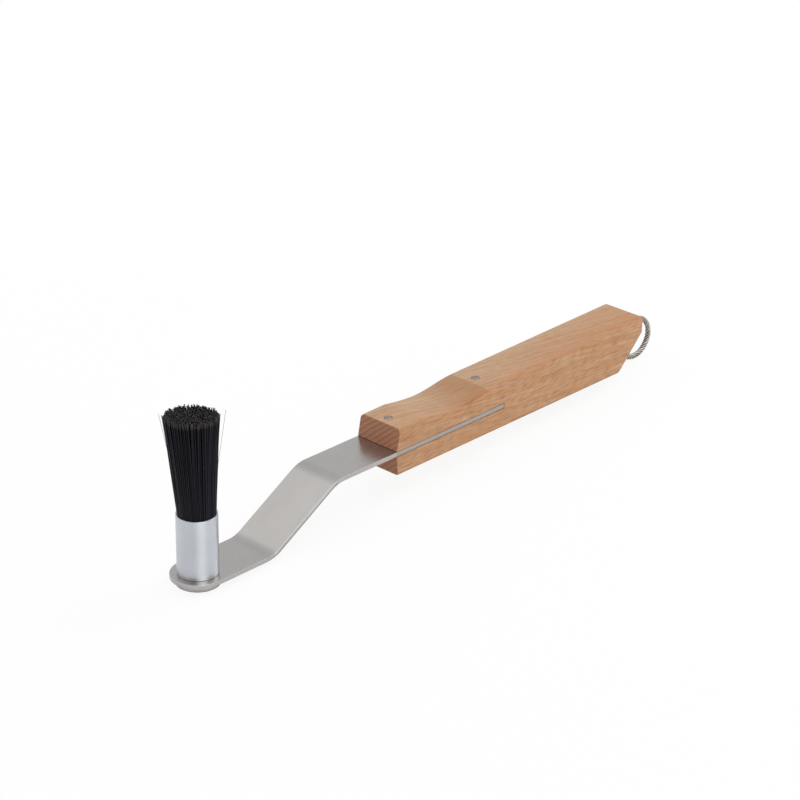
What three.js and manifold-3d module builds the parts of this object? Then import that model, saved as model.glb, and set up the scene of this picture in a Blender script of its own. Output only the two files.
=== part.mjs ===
// Portafilter brush: a beech handle, a cranked flat steel strip and an upright round brush head.
// Millimetres, +Z up. X runs along the tool, from the brush head to the hanging loop.
// In the model x = 0 is the axis of the brush head and z = 0 is the underside of the strip.
// The finished group is shifted so that its origin is the bottom centre of the whole tool.

import * as THREE from 'three';
import { mergeVertices } from 'three/addons/utils/BufferGeometryUtils.js';
import Module from 'manifold-3d';

const wasm = await Module();
wasm.setup();

// Strip: flat bar with a round front end and two equal, opposite bends
const stripWidth = 20;
const stripThickness = 1.8;
const stripRise = 18.2;
const bendAngle = THREE.MathUtils.degToRad(30);
const bendInnerRadius = 12;
const headToLowerBend = 27.3;
const upperBendToNose = 30.2;
const stripInHandle = 58.6;

// Handle: one beech block, sawn open at the nose for the strip
const handleLength = 140.4;
const handleBelowStrip = 8;
const noseAboveStrip = 8.65;
const tailAboveStrip = 10.4;
const noseTopSetback = 1.85;
const noseBottomSetback = 0.8;
const tailEndHeight = 6.5;
const tailCutRun = 13.9;
const handleEdgeRadius = 1;
const slotClearance = 0.15;

// Thumb scoop in the top of the handle, measured from the nose
const scoopStart = 13.2;
const scoopLowest = 29.6;
const scoopEnd = 49;
const scoopDepth = 1.85;

// Handle pins, flush with the wood at both ends
const pinDiameter = 3;
const pinClearance = 0.15;
const frontPinFromNose = 5.9;
const rearPinFromStripEnd = 5.5;

// Ferrule: drawn aluminium cup that holds the bristles
const ferruleDiameter = 14.8;
const ferruleHeight = 23;
const ferruleWall = 0.5;
const ferruleFloor = 1;
const ferruleCornerRadius = 0.5;

// Flat-headed socket screw under the strip, and its nut in the ferrule
const screwDiameter = 6;
const screwHeadDiameter = 16.6;
const screwHeadHeight = 2.3;
const screwHeadEdgeRadius = 0.8;
const screwPastNut = 1;
const socketAcrossFlats = 4;
const socketDepth = 2.6;
const screwClearance = 0.25;
const nutAcrossFlats = 10;
const nutHeight = 5;

// Resin around the nut, and the bristles set into it
const resinHeight = 14;
const resinClearance = 0.15;
const nutPocketClearance = 0.3;
const bristleSliceHeight = 1.5;
const bristleReach = 37.2;
const tuftTopDiameter = 19.5;
const bristleRings = 11;
const strandDiameter = 0.44;
const strandRootDepth = 0.8;
const strandRaggedness = 0.7;

// Hanging loop: stranded wire rope, both ends pressed into one sleeve in the tail
const ropeDiameter = 2;
const ropeClearance = 0.15;
const ropeStep = 2.3;
const sleeveDiameter = 6;
const sleeveLength = 12;
const sleeveRecess = 4;
const sleeveClearance = 0.3;
const boreBeyondSleeve = 2;

// Route of the rope in the middle plane, as [along X, up Z] from the mouth of its bore
const ropeRoute = [
  [-15.5, 1.3], [-11, 1.3], [-6.5, 1.3], [-2.5, 1.3], [0.8, 1.3], [3.8, 1.7], [7.1, 3.4],
  [10.1, 5.1], [13, 6.3], [16.5, 6.6], [19.2, 5.6], [21.3, 3.8], [22.8, 1.4], [23.3, -1.3],
  [22.8, -4], [21.3, -6.4], [19.1, -8.2], [16.4, -9.1], [13, -9], [9.2, -7.7], [5.4, -5.4],
  [2, -2.9], [-1.4, -1.5], [-5.5, -1.3], [-10, -1.3], [-15.5, -1.3],
];

// Facets
const arcSteps = 4;
const edgeSteps = 2;
const hexSides = 6;
const roundSides = 32;
const pinSides = 16;
const ropeSides = 8;
const strandSides = 3;
const cutMargin = 1;

// Places that follow from the sizes
const stripTop = stripRise + stripThickness;
const upperBend = headToLowerBend + stripRise / Math.tan(bendAngle);
const noseX = upperBend + upperBendToNose;
const tailX = noseX + handleLength;
const stripEnd = noseX + stripInHandle;
const handleBottom = stripRise - handleBelowStrip;
const noseTop = stripTop + noseAboveStrip;
const tailTop = stripTop + tailAboveStrip;
const pinPlaces = {
  front_handle_pin: noseX + frontPinFromNose,
  rear_handle_pin: stripEnd - rearPinFromStripEnd,
};
const screwHoleRadius = screwDiameter / 2 + screwClearance;
const ferruleRadius = ferruleDiameter / 2;
const ferruleInside = ferruleRadius - ferruleWall;
const ferruleBase = stripThickness;
const ferruleRim = ferruleBase + ferruleHeight;
const ferruleFloorTop = ferruleBase + ferruleFloor;
const nutTop = ferruleFloorTop + nutHeight;
const screwTip = nutTop + screwPastNut;
const resinTop = ferruleFloorTop + resinHeight;
const bristleSliceTop = resinTop + bristleSliceHeight;
const tuftTop = ferruleRim + bristleReach;
const loopBoreMouth = new THREE.Vector3(
  tailX - tailCutRun / 2,
  0,
  (handleBottom + tailTop - tailEndHeight) / 2,
);
const sleeveOffset = ropeRoute[0][1];

// Height of the straight top line of the handle
function topLine(x) {
  const share = (x - noseX - noseTopSetback) / (handleLength - noseTopSetback);
  return noseTop + (tailTop - noseTop) * share;
}

function hexCornerRadius(acrossFlats) {
  return acrossFlats / 2 / Math.cos(Math.PI / hexSides);
}

// Geometry to solid and back, for the cuts and joins
function toSolid(geometry) {
  const bare = geometry.clone();
  bare.deleteAttribute('normal');
  bare.deleteAttribute('uv');
  const merged = mergeVertices(bare);
  const corners = [];
  for (let i = 0; i < merged.index.count; i += 3) {
    const triangle = [0, 1, 2].map((k) => merged.index.getX(i + k));
    if (new Set(triangle).size === 3) corners.push(...triangle);
  }
  return new wasm.Manifold(new wasm.Mesh({
    numProp: 3,
    vertProperties: new Float32Array(merged.attributes.position.array),
    triVerts: new Uint32Array(corners),
  }));
}

function toGeometry(solid) {
  const mesh = solid.getMesh();
  const geometry = new THREE.BufferGeometry();
  geometry.setAttribute('position', new THREE.BufferAttribute(mesh.vertProperties, 3));
  geometry.setIndex(new THREE.BufferAttribute(mesh.triVerts, 1));
  geometry.computeVertexNormals();
  return geometry;
}

// Upright cylinder from one height to another
function uprightCylinder(radius, bottom, top, sides, x = 0) {
  const cylinder = new THREE.CylinderGeometry(radius, radius, top - bottom, sides);
  return cylinder.rotateX(Math.PI / 2).translate(x, 0, (bottom + top) / 2);
}

// Cylinder lying along X between two places, at a height
function lyingCylinder(radius, from, to, z, sides) {
  const cylinder = new THREE.CylinderGeometry(radius, radius, to - from, sides);
  return cylinder.rotateZ(Math.PI / 2).translate((from + to) / 2, 0, z);
}

// Side outline in X and Z, extruded across the width and centred on y = 0
function sideExtrusion(shape, width, edgeRadius = 0) {
  const geometry = new THREE.ExtrudeGeometry(shape, {
    depth: width - 2 * edgeRadius,
    curveSegments: arcSteps,
    bevelEnabled: edgeRadius > 0,
    bevelSize: edgeRadius,
    bevelThickness: edgeRadius,
    bevelOffset: -edgeRadius,
    bevelSegments: edgeSteps,
  });
  return geometry.rotateX(Math.PI / 2).translate(0, width / 2 - edgeRadius, 0);
}

// Turned piece from a profile of [radius, height] points
function turned(profile) {
  const points = profile.map(([radius, height]) => new THREE.Vector2(radius, height));
  return new THREE.LatheGeometry(points, roundSides).rotateX(Math.PI / 2);
}

// Profile points of a rounded lower edge, from the underside to the wall
function roundedLowerEdge(outside, bottom, radius) {
  const points = [];
  for (let step = 0; step <= arcSteps; step += 1) {
    const angle = (Math.PI / 2) * (step / arcSteps);
    points.push([outside - radius * (1 - Math.sin(angle)), bottom + radius * (1 - Math.cos(angle))]);
  }
  return points;
}

function stripGeometry() {
  const outerRadius = bendInnerRadius + stripThickness;
  const start = -stripWidth / 2 - cutMargin;
  const lower = new THREE.Vector2(headToLowerBend - outerRadius * Math.tan(bendAngle / 2), outerRadius);
  const upper = new THREE.Vector2(
    upperBend + bendInnerRadius * Math.tan(bendAngle / 2),
    stripRise - bendInnerRadius,
  );
  const up = Math.PI / 2;
  const side = new THREE.Shape();
  side.moveTo(start, 0);
  side.absarc(lower.x, lower.y, outerRadius, -up, bendAngle - up, false);
  side.absarc(upper.x, upper.y, bendInnerRadius, up + bendAngle, up, true);
  side.lineTo(stripEnd, stripRise);
  side.lineTo(stripEnd, stripTop);
  side.absarc(upper.x, upper.y, outerRadius, up, up + bendAngle, false);
  side.absarc(lower.x, lower.y, bendInnerRadius, bendAngle - up, -up, true);
  side.lineTo(start, stripThickness);

  const plan = new THREE.Shape();
  plan.moveTo(stripEnd + cutMargin, -stripWidth / 2);
  plan.lineTo(stripEnd + cutMargin, stripWidth / 2);
  plan.absarc(0, 0, stripWidth / 2, up, 3 * up, false);
  const planGeometry = new THREE.ExtrudeGeometry(plan, {
    depth: stripTop + 2 * cutMargin,
    curveSegments: roundSides / 2,
    bevelEnabled: false,
  }).translate(0, 0, -cutMargin);

  const screwHole = uprightCylinder(screwHoleRadius, -cutMargin, stripThickness + cutMargin, roundSides);
  let strip = toSolid(sideExtrusion(side, stripWidth + 2 * cutMargin));
  strip = strip.intersect(toSolid(planGeometry)).subtract(toSolid(screwHole));
  for (const x of Object.values(pinPlaces)) strip = strip.subtract(pinHole(x));
  return toGeometry(strip);
}

function pinHole(x) {
  const radius = pinDiameter / 2 + pinClearance;
  return toSolid(uprightCylinder(radius, handleBottom - cutMargin, tailTop + cutMargin, pinSides, x));
}

function handleGeometry() {
  const start = noseX + scoopStart;
  const lowest = noseX + scoopLowest;
  const end = noseX + scoopEnd;
  const lowestZ = topLine(lowest) - scoopDepth;
  const third = (from, to) => from + (to - from) / 3;
  const side = new THREE.Shape();
  side.moveTo(noseX + noseBottomSetback, handleBottom);
  side.lineTo(tailX - tailCutRun, handleBottom);
  side.lineTo(tailX, tailTop - tailEndHeight);
  side.lineTo(tailX, tailTop);
  side.lineTo(end, topLine(end));
  side.bezierCurveTo(
    third(end, lowest), topLine(third(end, lowest)), third(lowest, end), lowestZ, lowest, lowestZ,
  );
  const entryZ = (topLine(start) + lowestZ) / 2;
  side.bezierCurveTo(
    third(lowest, start), lowestZ, third(start, lowest), entryZ, start, topLine(start),
  );
  side.lineTo(noseX + noseTopSetback, noseTop);
  side.lineTo(noseX, (stripRise + stripTop) / 2);

  const slotLength = stripInHandle + slotClearance + cutMargin;
  const slotHeight = stripThickness + 2 * slotClearance;
  const slot = new THREE.BoxGeometry(slotLength, stripWidth + 2 * cutMargin, slotHeight)
    .translate(noseX - cutMargin + slotLength / 2, 0, (stripRise + stripTop) / 2);
  const bore = lyingCylinder(
    sleeveDiameter / 2 + sleeveClearance,
    loopBoreMouth.x - sleeveRecess - sleeveLength - boreBeyondSleeve,
    tailX + cutMargin,
    loopBoreMouth.z,
    pinSides,
  );
  let handle = toSolid(sideExtrusion(side, stripWidth, handleEdgeRadius));
  handle = handle.subtract(toSolid(slot)).subtract(toSolid(bore));
  for (const x of Object.values(pinPlaces)) handle = handle.subtract(pinHole(x));
  return toGeometry(handle);
}

function ferruleGeometry() {
  return turned([
    [screwHoleRadius, ferruleBase],
    ...roundedLowerEdge(ferruleRadius, ferruleBase, ferruleCornerRadius),
    [ferruleRadius, ferruleRim],
    [ferruleInside, ferruleRim],
    [ferruleInside, ferruleFloorTop],
    [screwHoleRadius, ferruleFloorTop],
    [screwHoleRadius, ferruleBase],
  ]);
}

function screwGeometry() {
  const body = turned([
    [0, -screwHeadHeight],
    ...roundedLowerEdge(screwHeadDiameter / 2, -screwHeadHeight, screwHeadEdgeRadius),
    [screwHeadDiameter / 2, 0],
    [screwDiameter / 2, 0],
    [screwDiameter / 2, screwTip],
    [0, screwTip],
  ]);
  const socketTop = socketDepth - screwHeadHeight;
  const socket = uprightCylinder(
    hexCornerRadius(socketAcrossFlats), -screwHeadHeight - cutMargin, socketTop, hexSides,
  );
  return toGeometry(toSolid(body).subtract(toSolid(socket)));
}

function nutGeometry() {
  const nut = uprightCylinder(hexCornerRadius(nutAcrossFlats), ferruleFloorTop, nutTop, hexSides);
  const thread = uprightCylinder(
    screwHoleRadius, ferruleFloorTop - cutMargin, nutTop + cutMargin, roundSides,
  );
  return toGeometry(toSolid(nut).subtract(toSolid(thread)));
}

function resinGeometry() {
  const radius = ferruleInside - resinClearance;
  const pocketRadius = hexCornerRadius(nutAcrossFlats) + nutPocketClearance;
  const pocketTop = screwTip + nutPocketClearance;
  return turned([
    [pocketRadius, ferruleFloorTop],
    [radius, ferruleFloorTop],
    [radius, resinTop],
    [0, resinTop],
    [0, pocketTop],
    [pocketRadius, pocketTop],
    [pocketRadius, ferruleFloorTop],
  ]);
}

// Strands stand in rings of 1, 6, 12, 18 and so on, and flare evenly from the ferrule to the tips
function strandGeometry() {
  const radius = strandDiameter / 2;
  const rimPitch = (ferruleInside - resinClearance - radius) / bristleRings;
  const tipPitch = (tuftTopDiameter / 2 - radius) / bristleRings;
  const rootZ = bristleSliceTop - strandRootDepth;
  const pitchAt = (z) => rimPitch + (tipPitch - rimPitch) * (z - ferruleRim) / bristleReach;
  const positions = [];
  const faces = [];
  let strand = 0;
  for (let ring = 0; ring <= bristleRings; ring += 1) {
    const count = Math.max(1, 6 * ring);
    for (let i = 0; i < count; i += 1) {
      const angle = (2 * Math.PI * i) / count + ring;
      const tipZ = tuftTop + strandRaggedness * Math.sin(5 * strand);
      const first = positions.length / 3;
      for (const z of [rootZ, tipZ]) {
        for (let side = 0; side < strandSides; side += 1) {
          const turn = angle + (2 * Math.PI * side) / strandSides;
          positions.push(
            ring * pitchAt(z) * Math.cos(angle) + radius * Math.cos(turn),
            ring * pitchAt(z) * Math.sin(angle) + radius * Math.sin(turn),
            z,
          );
        }
      }
      for (let side = 0; side < strandSides; side += 1) {
        const next = (side + 1) % strandSides;
        const [a, b] = [first + side, first + next];
        faces.push(a, b, b + strandSides, a, b + strandSides, a + strandSides);
      }
      faces.push(first, first + 2, first + 1, first + 3, first + 4, first + 5);
      strand += 1;
    }
  }
  const geometry = new THREE.BufferGeometry();
  geometry.setAttribute('position', new THREE.Float32BufferAttribute(positions, 3));
  geometry.setIndex(faces);
  return geometry;
}

function tuftGeometry() {
  const slice = uprightCylinder(ferruleInside - resinClearance, resinTop, bristleSliceTop, roundSides);
  return toGeometry(toSolid(slice).add(toSolid(strandGeometry())));
}

function ropeGeometry() {
  const route = new THREE.CatmullRomCurve3(ropeRoute.map(([x, z]) => new THREE.Vector3(x, 0, z)));
  const section = new THREE.Shape();
  section.absarc(0, 0, ropeDiameter / 2, 0, 2 * Math.PI, false);
  return new THREE.ExtrudeGeometry(section, {
    extrudePath: route,
    steps: Math.round(route.getLength() / ropeStep),
    curveSegments: ropeSides / 2,
  }).translate(loopBoreMouth.x, 0, loopBoreMouth.z);
}

function sleeveGeometry() {
  const outer = loopBoreMouth.x - sleeveRecess;
  const inner = outer - sleeveLength;
  const holeRadius = ropeDiameter / 2 + ropeClearance;
  let sleeve = toSolid(lyingCylinder(sleeveDiameter / 2, inner, outer, loopBoreMouth.z, pinSides));
  for (const offset of [sleeveOffset, -sleeveOffset]) {
    const z = loopBoreMouth.z + offset;
    const hole = lyingCylinder(holeRadius, inner - cutMargin, outer + cutMargin, z, pinSides);
    sleeve = sleeve.subtract(toSolid(hole));
  }
  return toGeometry(sleeve);
}

// Materials
const beech = { color: 0xc98f58, roughness: 0.6, metalness: 0 };
const stainless = { color: 0xa6a29c, roughness: 0.35, metalness: 1 };
const aluminium = { color: 0xc3c7d0, roughness: 0.35, metalness: 1 };
const zincSteel = { color: 0x9a9a9a, roughness: 0.3, metalness: 1 };
const resin = { color: 0x2a2724, roughness: 0.4, metalness: 0 };
const nylon = { color: 0x141416, roughness: 0.5, metalness: 0 };

const brush = new THREE.Group();

function addPiece(name, geometry, look) {
  const piece = new THREE.Mesh(geometry, new THREE.MeshStandardMaterial(look));
  piece.name = name;
  brush.add(piece);
}

addPiece('handle', handleGeometry(), beech);
addPiece('blade_strip', stripGeometry(), stainless);
for (const [name, x] of Object.entries(pinPlaces)) {
  addPiece(name, uprightCylinder(pinDiameter / 2, handleBottom, topLine(x), pinSides, x), aluminium);
}
addPiece('ferrule', ferruleGeometry(), aluminium);
addPiece('head_screw', screwGeometry(), zincSteel);
addPiece('ferrule_nut', nutGeometry(), zincSteel);
addPiece('resin_plug', resinGeometry(), resin);
addPiece('bristle_tuft', tuftGeometry(), nylon);
addPiece('hanging_loop', ropeGeometry(), stainless);
addPiece('loop_sleeve', sleeveGeometry(), aluminium);

const loopReach = Math.max(...ropeRoute.map(([x]) => x)) + ropeDiameter / 2;
const rearmost = loopBoreMouth.x + loopReach;
const foremost = -Math.max(stripWidth, tuftTopDiameter) / 2;
brush.position.set(-(foremost + rearmost) / 2, 0, screwHeadHeight);

export default brush;
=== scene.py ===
# Portafilter brush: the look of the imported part, in metres, in the part's own frame.
# X runs along the tool from the brush head to the hanging loop, Y across it, Z up the bristles.
import math
import random

import bmesh
import bpy
from mathutils import Matrix, Vector
from mathutils.geometry import interpolate_bezier
from mathutils.noise import noise as noise_at


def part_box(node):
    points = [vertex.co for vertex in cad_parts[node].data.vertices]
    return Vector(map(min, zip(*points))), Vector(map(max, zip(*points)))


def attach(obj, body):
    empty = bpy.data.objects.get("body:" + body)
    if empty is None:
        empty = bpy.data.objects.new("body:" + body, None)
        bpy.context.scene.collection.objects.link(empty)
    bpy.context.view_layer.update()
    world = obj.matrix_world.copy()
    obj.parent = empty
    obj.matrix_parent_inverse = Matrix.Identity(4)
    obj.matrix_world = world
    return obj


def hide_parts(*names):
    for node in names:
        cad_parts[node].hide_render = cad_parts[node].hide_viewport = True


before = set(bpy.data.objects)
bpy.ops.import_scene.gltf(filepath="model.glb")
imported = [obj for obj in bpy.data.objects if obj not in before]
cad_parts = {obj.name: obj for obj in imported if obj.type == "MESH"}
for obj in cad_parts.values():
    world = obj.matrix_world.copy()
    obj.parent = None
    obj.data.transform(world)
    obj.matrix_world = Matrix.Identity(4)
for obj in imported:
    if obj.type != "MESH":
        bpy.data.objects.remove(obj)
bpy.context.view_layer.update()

MM = 0.001

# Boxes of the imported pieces
STRIP_LOW, STRIP_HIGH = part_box("blade_strip")
HANDLE_LOW, HANDLE_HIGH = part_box("handle")
FERRULE_LOW, FERRULE_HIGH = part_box("ferrule")
SCREW_LOW, SCREW_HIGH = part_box("head_screw")
TUFT_LOW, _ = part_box("bristle_tuft")
SLEEVE_LOW, SLEEVE_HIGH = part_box("loop_sleeve")

# Camera, as the photograph was taken
CAMERA_TARGET = Vector((-17.3, 0, 36.06)) * MM
CAMERA_AZIMUTH = math.radians(-46.61)
CAMERA_ELEVATION = math.radians(25.23)
CAMERA_ROLL = math.radians(0.6)
CAMERA_DISTANCE = 1029.4 * MM
CAMERA_LENS = 126.64
CAMERA_SENSOR = 36

# Strip: flat bar with a round front end and two opposite bends
HEAD_X = (FERRULE_LOW.x + FERRULE_HIGH.x) / 2
STRIP_WIDTH = STRIP_HIGH.y - STRIP_LOW.y
STRIP_UNDER = STRIP_LOW.z
STRIP_OVER = STRIP_HIGH.z
STRIP_THICKNESS = 1.8 * MM
STRIP_RISE = STRIP_OVER - STRIP_UNDER - STRIP_THICKNESS
STRIP_EDGE_EASE = 0.25 * MM
STRIP_CORNER_ANGLE = math.radians(60)
BEND_ANGLE = math.radians(30)
BEND_INNER_RADIUS = 12 * MM
LOWER_BEND_X = HEAD_X + 27.3 * MM
UPPER_BEND_X = LOWER_BEND_X + STRIP_RISE / math.tan(BEND_ANGLE)

# Handle: beech block with a saw slot, a thumb scoop and a slanted cut under the tail
HANDLE_LENGTH = 140.4 * MM
HANDLE_BOTTOM = HANDLE_LOW.z
TAIL_X = HANDLE_HIGH.x
TAIL_TOP = HANDLE_HIGH.z
NOSE_X = TAIL_X - HANDLE_LENGTH
NOSE_TOP = STRIP_OVER + 8.65 * MM
NOSE_TIP_Z = STRIP_OVER - STRIP_THICKNESS / 2
NOSE_TOP_SETBACK = 1.85 * MM
NOSE_BOTTOM_SETBACK = 0.8 * MM
TAIL_END_HEIGHT = 6.5 * MM
TAIL_CUT_RUN = 13.9 * MM
SCOOP_START_X = NOSE_X + 13.2 * MM
SCOOP_LOWEST_X = NOSE_X + 29.6 * MM
SCOOP_END_X = NOSE_X + 49 * MM
SCOOP_DEPTH = 1.87 * MM
SCOOP_REAR_SLOPE = 0.035
SCOOP_STEPS = 16
SCOOP_CREASE = 0.15 * MM
TAIL_CREASE_Z = TAIL_TOP - TAIL_END_HEIGHT
TOP_EDGE_EASE = 1.9 * MM
BOTTOM_EDGE_EASE = 1.0 * MM
END_EDGE_EASE = 0.35 * MM
EASE_SEGMENTS = 6
CORNER_ANGLE = math.radians(30)
SLOT_CLEARANCE = 0.15 * MM

# Handle pins
PIN_CLEARANCE = 0.15 * MM
PIN_EDGE_EASE = 0.2 * MM
PIN_STANDS_PROUD = 0.03 * MM

# Ferrule and the screw under it
FERRULE_RADIUS = (FERRULE_HIGH.x - FERRULE_LOW.x) / 2
FERRULE_WALL = 0.5 * MM
FERRULE_FLOOR = 1 * MM
FERRULE_CORNER_RADIUS = 0.25 * MM
FERRULE_FOOT = 1.4 * MM
FERRULE_LIP_EASE = 0.15 * MM
SCREW_RADIUS = 3 * MM
SCREW_CLEARANCE = 0.25 * MM
SCREW_HEAD_RADIUS = (SCREW_HIGH.x - SCREW_LOW.x) / 2
SCREW_HEAD_EDGE_RADIUS = 0.8 * MM
SOCKET_ACROSS_FLATS = 4 * MM
SOCKET_DEPTH = 2.6 * MM

# Bristles
STRAND_COUNT = 950
RIM_STRAND_COUNT = 100
STRAND_RADIUS = 0.18 * MM
STRAND_SIDES = 6
STRAND_STEPS = 6
STRAND_CLEARANCE = 0.02 * MM
TUFT_RIM_RADIUS = FERRULE_RADIUS - FERRULE_WALL - STRAND_RADIUS - STRAND_CLEARANCE
TUFT_TOP_RADIUS = 9.3 * MM
TUFT_TOP = FERRULE_HIGH.z + 36.9 * MM
TUFT_LEAN = Vector((-0.75, 0.8, 0)) * MM
TUFT_TOP_SLOPE = 0.058
TUFT_TOP_FALLS_TOWARD = Vector((0.727, 0.687, 0))
CLUMP_SIZE = 1.3 * MM
CLUMP_RISE = 0.5 * MM
CLUMP_PULL = 0.45 * MM
TIP_RAGGEDNESS = 0.35 * MM
TIP_RISE_LIMIT = 1.1 * MM
STRAND_BOW = 0.2 * MM
STRAND_DRIFT = 0.3 * MM
RIM_STRAND_JITTER = 0.4
TONE_CLUMPING = 0.8
TONE_SHIFT = Vector((3, 5, 0)) * CLUMP_SIZE
TONE_CHANCE = 0.35
STRAY_RADIUS = 0.06 * MM
STRAY_TURNS = [math.radians(turn) for turn in (-47, 133, 75)]
STRAY_FLARES = [2.4, 2, 0.4]
STRAY_LEAVES_AT = 0.45
STRAY_RISES = [2.4, 0.3, 0.6]
GOLDEN_ANGLE = math.pi * (3 - math.sqrt(5))
SEED = 11

# Hanging loop: six-strand wire rope, both ends in a sleeve in the tail
ROPE_DIAMETER = 2.3 * MM
ROPE_STRANDS = 6
ROPE_STRAND_RADIUS = ROPE_DIAMETER / 6
ROPE_STRAND_OFFSET = ROPE_DIAMETER / 3
ROPE_LAY = 9 * MM
STRAND_WIRES = 6
WIRE_LAY = 5 * MM
WIRE_RELIEF = 0.045
ROPE_STEP = 0.35 * MM
ROPE_SECTION_POINTS = 24
ROPE_CLEARANCE = 0.08 * MM
SLEEVE_CLEARANCE = 0.3 * MM
SLEEVE_EDGE_EASE = 0.3 * MM
BORE_BEYOND_SLEEVE = 2 * MM
BORE_MOUTH = Vector((
    TAIL_X - TAIL_CUT_RUN / 2,
    0,
    (HANDLE_BOTTOM + TAIL_CREASE_Z) / 2,
))

# Route of the rope in the middle plane, in millimetres along X and up Z from the bore's mouth
ROPE_ROUTE = [
    (-15.5, 1.3), (-11, 1.3), (-6.5, 1.3), (-2.5, 1.3), (0.8, 1.3), (3.8, 1.7), (7.1, 3.4),
    (10.1, 5.1), (13, 6.3), (16.5, 6.6), (19.2, 5.6), (21.3, 3.8), (22.8, 1.4), (23.3, -1.3),
    (22.8, -4), (21.3, -6.4), (19.1, -8.2), (16.4, -9.1), (13, -9), (9.2, -7.7), (5.4, -5.4),
    (2, -2.9), (-1.4, -1.5), (-5.5, -1.3), (-10, -1.3), (-15.5, -1.3),
]
ROPE_OFFSET = ROPE_ROUTE[0][1] * MM

# Studio
FLOOR_RADIUS = 0.4
FLOOR_SIDES = 96
SHADOW_DEPTH = 0.1
SHADOW_DEPTH_IN_METAL = 1.0
SOFT_LIGHT = 0.83
KEY_LAMP_PLACE = Vector((0.8, -0.2, 0.8))
KEY_LAMP_TARGET = Vector((0, 0, 25)) * MM
KEY_LAMP_SIZE = 0.7
KEY_LAMP_POWER = 3.2

# Light of the studio as metal shows it, by height: the wall, a darker band above it, the ceiling
WALL_HEIGHT = 0.43
WALL_LIGHT = 0.785
BAND_LOW = 0.48
BAND_HIGH = 0.72
BAND_LIGHT = 0.69
CEILING_HEIGHT = 0.9
CEILING_LIGHT = 0.95

# Bright and dark areas of the studio: direction, cosines where it begins and is full, light added
STUDIO_AREAS = [
    (Vector((-0.29, 0.57, 0.77)), 0.866, 0.962, 0.27),
    (Vector((-0.34, -0.84, 0.42)), 0.86, 0.94, 1.6),
    (Vector((-0.78, -0.46, 0.42)), 0.86, 0.94, -0.4),
    (Vector((0.88, 0.21, 0.42)), 0.93, 0.98, -0.4),
    (Vector((0, -0.7, 0.715)), 0.93, 0.98, 0.9),
]

# Facets
ROUND_SIDES = 96
HOLE_SIDES = 48
ARC_STEPS = 8
ROUND_END_STEPS = 32
EDGE_SEGMENTS = 2
CUT_MARGIN = 1 * MM
MERGE_DISTANCE = 0.001 * MM
SHARP_ANGLE = math.radians(40)
STRAND_SHARP_ANGLE = math.radians(80)


def srgb(red, green, blue):
    """Linear colour of an sRGB colour from 0 to 255."""
    def linear(value):
        share = value / 255
        return share / 12.92 if share <= 0.04045 else ((share + 0.055) / 1.055) ** 2.4
    return linear(red), linear(green), linear(blue), 1.0


# Mesh helpers

def mesh_object(name, bm):
    bmesh.ops.recalc_face_normals(bm, faces=bm.faces)
    mesh = bpy.data.meshes.new(name)
    bm.to_mesh(mesh)
    bm.free()
    piece = bpy.data.objects.new(name, mesh)
    bpy.context.scene.collection.objects.link(piece)
    return piece


def apply_modifiers(piece):
    graph = bpy.context.evaluated_depsgraph_get()
    mesh = bpy.data.meshes.new_from_object(piece.evaluated_get(graph))
    piece.modifiers.clear()
    piece.data = mesh


def cut(piece, cutters):
    """Takes the cutters' shapes out of the piece, and removes them."""
    for cutter in cutters:
        modifier = piece.modifiers.new("cut", "BOOLEAN")
        modifier.operation = "DIFFERENCE"
        modifier.object = cutter
    apply_modifiers(piece)
    for cutter in cutters:
        bpy.data.objects.remove(cutter)


def shade_smooth(piece, sharp_angle=SHARP_ANGLE):
    for face in piece.data.polygons:
        face.use_smooth = True
    piece.data.set_sharp_from_angle(angle=sharp_angle)
    normals = piece.modifiers.new("normals", "WEIGHTED_NORMAL")
    normals.keep_sharp = True


def add_rings(bm, rings, closed=False, capped=False):
    """Joins rings of equally many points with faces, and returns the new vertices."""
    made = [[bm.verts.new(point) for point in ring] for ring in rings]
    followers = made[1:] + made[:1] if closed else made[1:]
    for ring, follower in zip(made, followers):
        for i in range(len(ring)):
            j = (i + 1) % len(ring)
            bm.faces.new((ring[i], ring[j], follower[j], follower[i]))
    if capped:
        bm.faces.new(reversed(made[0]))
        bm.faces.new(made[-1])
    return made


def circle(centre, radius, sides, start=0):
    """Level ring of points, from a starting angle."""
    turns = [start + 2 * math.pi * i / sides for i in range(sides)]
    return [centre + Vector((math.cos(t), math.sin(t), 0)) * radius for t in turns]


def turned(name, profile, x, closed=False):
    """Turned piece about an upright axis at x, from (radius, height) points."""
    bm = bmesh.new()
    rings = [circle(Vector((x, 0, height)), radius, ROUND_SIDES) for radius, height in profile]
    add_rings(bm, rings, closed)
    bmesh.ops.remove_doubles(bm, verts=bm.verts, dist=MERGE_DISTANCE)
    return mesh_object(name, bm)


def rod(start, end, radius, sides=HOLE_SIDES):
    """Straight rod between two points, for holes."""
    bm = bmesh.new()
    along = end - start
    place = Matrix.Translation((start + end) / 2) @ along.to_track_quat("Z", "Y").to_matrix().to_4x4()
    bmesh.ops.create_cone(
        bm, cap_ends=True, segments=sides, radius1=radius, radius2=radius, depth=along.length,
        matrix=place,
    )
    return mesh_object("cutter", bm)


def block(low, high):
    """Block between two corners, for the saw slot."""
    bm = bmesh.new()
    place = Matrix.Translation((low + high) / 2) @ Matrix.Diagonal((high - low).to_4d())
    bmesh.ops.create_cube(bm, size=1, matrix=place)
    return mesh_object("cutter", bm)


def ease_edges(bm, edges, offset):
    bmesh.ops.bevel(bm, geom=edges, offset=offset, segments=EDGE_SEGMENTS, profile=0.5, affect="EDGES")


def rounded_edge(outside, height, radius, upward):
    """Profile points round a turned piece's edge, from its face out to its wall."""
    points = []
    for step in range(ARC_STEPS + 1):
        turn = math.pi / 2 * step / ARC_STEPS
        rise = radius * (1 - math.cos(turn))
        points.append((outside - radius * (1 - math.sin(turn)), height + upward * rise))
    return points


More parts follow.
